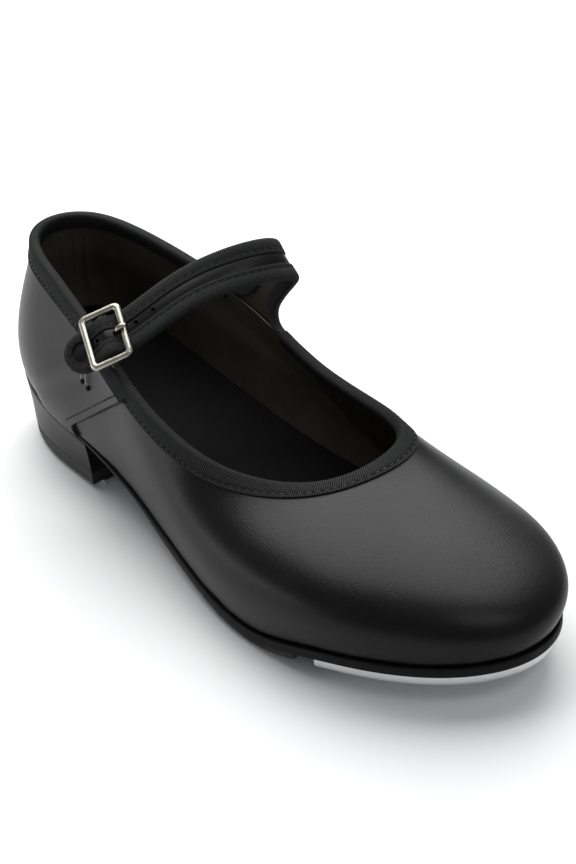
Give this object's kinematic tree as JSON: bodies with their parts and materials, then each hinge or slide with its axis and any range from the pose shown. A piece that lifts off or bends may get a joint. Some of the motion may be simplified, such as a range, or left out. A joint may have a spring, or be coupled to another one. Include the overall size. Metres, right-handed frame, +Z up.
{
  "type": "tap shoe",
  "caption": "Low-heeled round-toe Mary Jane tap shoe, right foot, with a buckled instep strap, ribbed topline binding and metal toe and heel taps.",
  "frame": {"origin": "on the floor, under the middle of the shoe's length and width", "axes": "+X towards the toe, +Y towards the inner (medial) side of the foot, +Z up"},
  "size_m": [0.2535, 0.0849, 0.0886],
  "materials": {
    "vamp": "smooth black leather, satin",
    "quarter_leather": "smooth black leather, satin",
    "lining": "dark brown lining, matt",
    "stiffener_board": "pressed fibre board",
    "binding": "black ribbed grosgrain tape",
    "sock": "smooth black sock lining, matt",
    "steel": "plain steel",
    "cork": "granulated cork",
    "sole_leather": "black edge-dyed leather",
    "rubber": "black rubber, fine texture",
    "heel_leather": "black leather-covered heel, satin",
    "tap_metal": "polished cast aluminium",
    "buckle_metal": "polished nickel plate",
    "thread": "black waxed thread"
  },
  "bodies": {
    "shoe": {"vamp": "vamp", "quarter_lateral": "quarter_leather", "quarter_medial": "quarter_leather", "back_stay": "quarter_leather", "vamp_lining": "lining", "quarter_lining": "lining", "heel_counter": "stiffener_board", "toe_puff": "stiffener_board", "topline_binding": "binding", "insole_board": "stiffener_board", "sock_liner": "sock", "steel_shank": "steel", "cork_filler": "cork", "outsole": "sole_leather", "rubber_sole_pad": "rubber", "heel_block": "heel_leather", "heel_top_lift": "rubber", "heel_tap": "tap_metal", "heel_tap_screws": "steel", "heel_nails": "steel", "toe_tap": "tap_metal", "toe_tap_screws": "steel", "buckle_tab": "vamp", "tab_stitches": "thread"},
    "strap": {"strap_leather": "vamp", "strap_lining": "lining", "strap_binding": "binding"},
    "buckle": {"buckle_frame": "buckle_metal"},
    "prong": {"buckle_prong": "buckle_metal"}
  },
  "joints": [
    {"name": "strap_open", "type": "hinge", "parent": "shoe", "child": "strap", "pos_m": [-0.03141, 0.02917, 0.0588], "axis": [-0.9716, -0.0573, 0.2294], "range_deg": [0, 95], "deforming": ["strap_leather", "strap_lining", "strap_binding"]},
    {"name": "buckle_swing", "type": "hinge", "parent": "shoe", "child": "buckle", "pos_m": [-0.03548, -0.02633, 0.06575], "axis": [0.8185, -0.3049, -0.487], "range_deg": [0, 50]},
    {"name": "prong_swing", "type": "hinge", "parent": "buckle", "child": "prong", "pos_m": [-0.03548, -0.02633, 0.06575], "axis": [0.8185, -0.3049, -0.487], "range_deg": [0, 85]}
  ]
}
